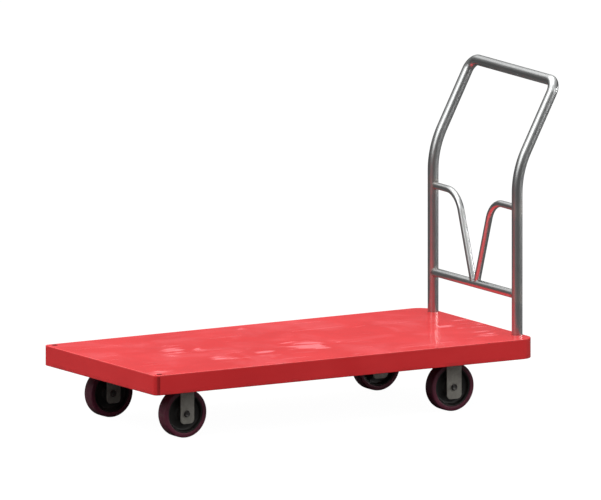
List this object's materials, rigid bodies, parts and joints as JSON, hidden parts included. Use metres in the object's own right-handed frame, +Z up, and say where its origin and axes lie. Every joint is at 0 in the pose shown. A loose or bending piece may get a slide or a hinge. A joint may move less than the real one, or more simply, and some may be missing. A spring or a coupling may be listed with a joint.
{
  "type": "flatbed platform truck",
  "caption": "Flatbed platform truck with a flat steel deck, a bent-tube push handle, rigid casters at the front and swivel casters under the handle end.",
  "frame": {"origin": "on the floor under the middle of the whole truck's bounding box", "axes": "+X along the deck towards the push handle, +Y across the deck to the right of somebody pushing, +Z up"},
  "size_m": [1.3416, 0.597, 0.9049],
  "materials": {
    "deck_paint": "gloss coral-red powder coat with pale scuffs on the top",
    "frame_paint": "the same red, thinner and duller, under the deck",
    "handle_steel": "satin steel tube, clear coated",
    "zinc_steel": "dull zinc-plated pressed steel",
    "bolt_steel": "dark plated fasteners",
    "tread_rubber": "dark maroon elastic tread, satin",
    "hub_plastic": "black moulded plastic",
    "bearing_steel": "ground bearing steel"
  },
  "bodies": {
    "root": {"deck_plate": "deck_paint", "deck_flange_front": "deck_paint", "deck_flange_rear": "deck_paint", "deck_flange_left": "deck_paint", "deck_flange_right": "deck_paint", "cross_channel_front": "frame_paint", "cross_channel_rear": "frame_paint", "stiffener_left": "frame_paint", "stiffener_right": "frame_paint", "handle_tube": "handle_steel", "handle_crossbar": "handle_steel", "handle_brace_left": "handle_steel", "handle_brace_right": "handle_steel", "handle_bolt_left_lower": "bolt_steel", "handle_nut_left_lower": "bolt_steel", "handle_bolt_left_upper": "bolt_steel", "handle_nut_left_upper": "bolt_steel", "handle_bolt_right_lower": "bolt_steel", "handle_nut_right_lower": "bolt_steel", "handle_bolt_right_upper": "bolt_steel", "handle_nut_right_upper": "bolt_steel", "rigid_left_top_plate": "zinc_steel", "rigid_left_fork": "zinc_steel", "rigid_left_axle_bolt": "bolt_steel", "rigid_left_axle_nut": "bolt_steel", "rigid_left_axle_sleeve": "zinc_steel", "rigid_right_top_plate": "zinc_steel", "rigid_right_fork": "zinc_steel", "rigid_right_axle_bolt": "bolt_steel", "rigid_right_axle_nut": "bolt_steel", "rigid_right_axle_sleeve": "zinc_steel", "swivel_left_top_plate": "zinc_steel", "swivel_left_kingpin": "bolt_steel", "swivel_left_kingpin_nut": "bolt_steel", "swivel_right_top_plate": "zinc_steel", "swivel_right_kingpin": "bolt_steel", "swivel_right_kingpin_nut": "bolt_steel"},
    "rigid_left_wheel": {"rigid_left_tread": "tread_rubber", "rigid_left_hub": "hub_plastic", "rigid_left_bearing": "bearing_steel"},
    "rigid_right_wheel": {"rigid_right_tread": "tread_rubber", "rigid_right_hub": "hub_plastic", "rigid_right_bearing": "bearing_steel"},
    "swivel_left_caster": {"swivel_left_ball_bearing": "bearing_steel", "swivel_left_fork": "zinc_steel", "swivel_left_axle_bolt": "bolt_steel", "swivel_left_axle_nut": "bolt_steel", "swivel_left_axle_sleeve": "zinc_steel"},
    "swivel_left_wheel": {"swivel_left_tread": "tread_rubber", "swivel_left_hub": "hub_plastic", "swivel_left_bearing": "bearing_steel"},
    "swivel_right_caster": {"swivel_right_ball_bearing": "bearing_steel", "swivel_right_fork": "zinc_steel", "swivel_right_axle_bolt": "bolt_steel", "swivel_right_axle_nut": "bolt_steel", "swivel_right_axle_sleeve": "zinc_steel"},
    "swivel_right_wheel": {"swivel_right_tread": "tread_rubber", "swivel_right_hub": "hub_plastic", "swivel_right_bearing": "bearing_steel"}
  },
  "joints": [
    {"name": "rigid_left_wheel_spin", "type": "hinge", "parent": "root", "child": "rigid_left_wheel", "pos_m": [-0.52401, -0.1969, 0.0675], "axis": [0, 1, 0], "continuous": true},
    {"name": "rigid_right_wheel_spin", "type": "hinge", "parent": "root", "child": "rigid_right_wheel", "pos_m": [-0.52401, 0.1969, 0.0675], "axis": [0, 1, 0], "continuous": true},
    {"name": "swivel_left_caster_swivel", "type": "hinge", "parent": "root", "child": "swivel_left_caster", "pos_m": [0.37069, -0.1969, 0.17], "axis": [0, 0, 1], "continuous": true},
    {"name": "swivel_left_wheel_spin", "type": "hinge", "parent": "swivel_left_caster", "child": "swivel_left_wheel", "pos_m": [0.33069, -0.1969, 0.0675], "axis": [0, 1, 0], "continuous": true},
    {"name": "swivel_right_caster_swivel", "type": "hinge", "parent": "root", "child": "swivel_right_caster", "pos_m": [0.37069, 0.1969, 0.17], "axis": [0, 0, 1], "continuous": true},
    {"name": "swivel_right_wheel_spin", "type": "hinge", "parent": "swivel_right_caster", "child": "swivel_right_wheel", "pos_m": [0.33069, 0.1969, 0.0675], "axis": [0, 1, 0], "continuous": true}
  ]
}
